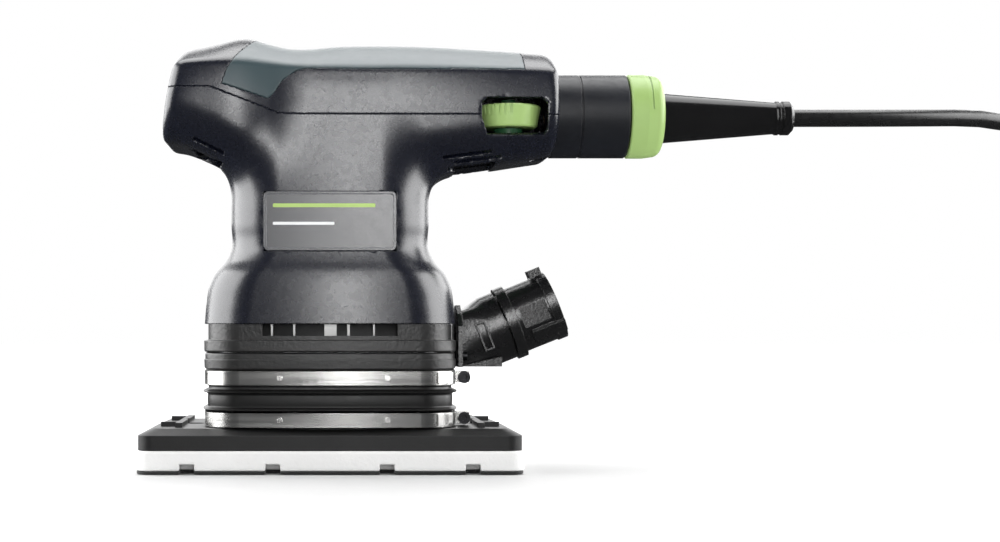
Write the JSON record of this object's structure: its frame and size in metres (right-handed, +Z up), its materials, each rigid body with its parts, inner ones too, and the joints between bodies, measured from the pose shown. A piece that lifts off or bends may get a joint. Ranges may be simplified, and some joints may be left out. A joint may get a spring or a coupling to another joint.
{
  "type": "orbital finishing sander",
  "caption": "Palm orbital sander with a rectangular hook-and-loop pad, bellows, tilting-up dust outlet, speed wheel and a plug-in mains lead.",
  "frame": {"origin": "centre of the sanding pad's underside", "axes": "+X towards the cable end of the handle, +Z up along the motor axis, the speed wheel is on the -Y side"},
  "size_m": [0.47, 0.1108, 0.1529],
  "materials": {
    "housing": "fine grained blue-black glass-filled plastic",
    "grip": "smooth petrol soft-touch layer",
    "label": "satin printed plate, blank",
    "ring_plastic": "textured black plastic",
    "platform_plastic": "satin black plastic",
    "port_plastic": "satin black plastic",
    "collar_plastic": "satin blue-black plastic",
    "inner_plastic": "plain moulded plastic",
    "white_plastic": "natural nylon",
    "green_plastic": "satin leaf green",
    "rubber_black": "matt",
    "cord_rubber": "satin",
    "foam": "closed cell foam",
    "hook": "hook pile",
    "band_steel": "rolled stainless strip",
    "bearing_steel": "ground",
    "steel_dark": "black oxide",
    "lamination": "stacked sheet",
    "copper": "enamelled",
    "brass": "plain",
    "cast_alloy": "die cast",
    "carbon": "pressed carbon",
    "board": "solder mask"
  },
  "bodies": {
    "housing": {"top_shell": "housing", "lower_housing": "housing", "grip_insert": "grip", "label_plate": "label", "housing_screws": "steel_dark", "vent_ring": "ring_plastic", "lower_ring": "ring_plastic", "air_baffle": "white_plastic", "bellows": "rubber_black", "band_upper": "band_steel", "clamp_screw_upper": "steel_dark", "bearing_bracket": "cast_alloy", "bracket_screws": "steel_dark", "swing_legs": "rubber_black", "lower_bearing": "bearing_steel", "upper_bearing": "bearing_steel", "stator_core": "lamination", "field_coils": "copper", "brush_carrier": "inner_plastic", "brush_holders": "brass", "carbon_brushes": "carbon", "brush_springs": "bearing_steel", "speed_control": "board", "switch_body": "inner_plastic", "inlet_collar": "collar_plastic", "inlet_pins": "brass", "dust_elbow": "port_plastic", "elbow_screws": "steel_dark", "fan_shroud": "inner_plastic"},
    "rotor": {"motor_shaft": "bearing_steel", "armature_core": "lamination", "armature_windings": "copper", "commutator": "copper", "cooling_fan": "inner_plastic", "counterweight": "cast_alloy", "spindle_screw": "steel_dark"},
    "pad": {"platform": "platform_plastic", "foam_pad": "foam", "hook_layer": "hook", "platform_screws": "steel_dark", "leg_cups": "rubber_black", "pad_bearing": "bearing_steel", "bellows_cuff": "rubber_black", "band_lower": "band_steel", "clamp_screw_lower": "steel_dark"},
    "hose_connector": {"hose_connector": "port_plastic"},
    "speed_wheel": {"speed_wheel": "green_plastic"},
    "switch_rocker": {"switch_rocker": "ring_plastic"},
    "cable_plug": {"plug_core": "collar_plastic", "strain_relief": "cord_rubber", "cord_lead": "cord_rubber", "cord_coil": "cord_rubber", "cord_tail": "cord_rubber", "mains_plug": "cord_rubber", "mains_pins": "brass"},
    "lock_ring": {"lock_ring": "green_plastic"}
  },
  "joints": [
    {"name": "motor_spin", "type": "hinge", "parent": "housing", "child": "rotor", "pos_m": [0, 0, 0.08], "axis": [0, 0, 1], "continuous": true},
    {"name": "pad_orbit", "type": "hinge", "parent": "rotor", "child": "pad", "pos_m": [0.001, 0, 0.02], "axis": [0, 0, 1], "continuous": true},
    {"name": "hose_swivel", "type": "hinge", "parent": "housing", "child": "hose_connector", "pos_m": [0.06744, 0, 0.05257], "axis": [0.9272, 0, 0.3746], "continuous": true},
    {"name": "speed_wheel_turn", "type": "hinge", "parent": "housing", "child": "speed_wheel", "pos_m": [0.0624, -0.0166, 0.123], "axis": [0, 0, 1], "range_deg": [-135, 135]},
    {"name": "switch_rock", "type": "hinge", "parent": "housing", "child": "switch_rocker", "pos_m": [-0.05131, 0, 0.13439], "axis": [0, 1, 0], "range_deg": [0, 8]},
    {"name": "plug_pull", "type": "slide", "parent": "housing", "child": "cable_plug", "axis": [1, 0, 0], "range_m": [0, 0.022]},
    {"name": "lock_ring_turn", "type": "hinge", "parent": "cable_plug", "child": "lock_ring", "pos_m": [0.112, 0, 0.1254], "axis": [1, 0, 0], "range_deg": [0, 45]}
  ],
  "couplings": [
    {"joint": "pad_orbit", "follows": "motor_spin", "ratio": -1}
  ]
}
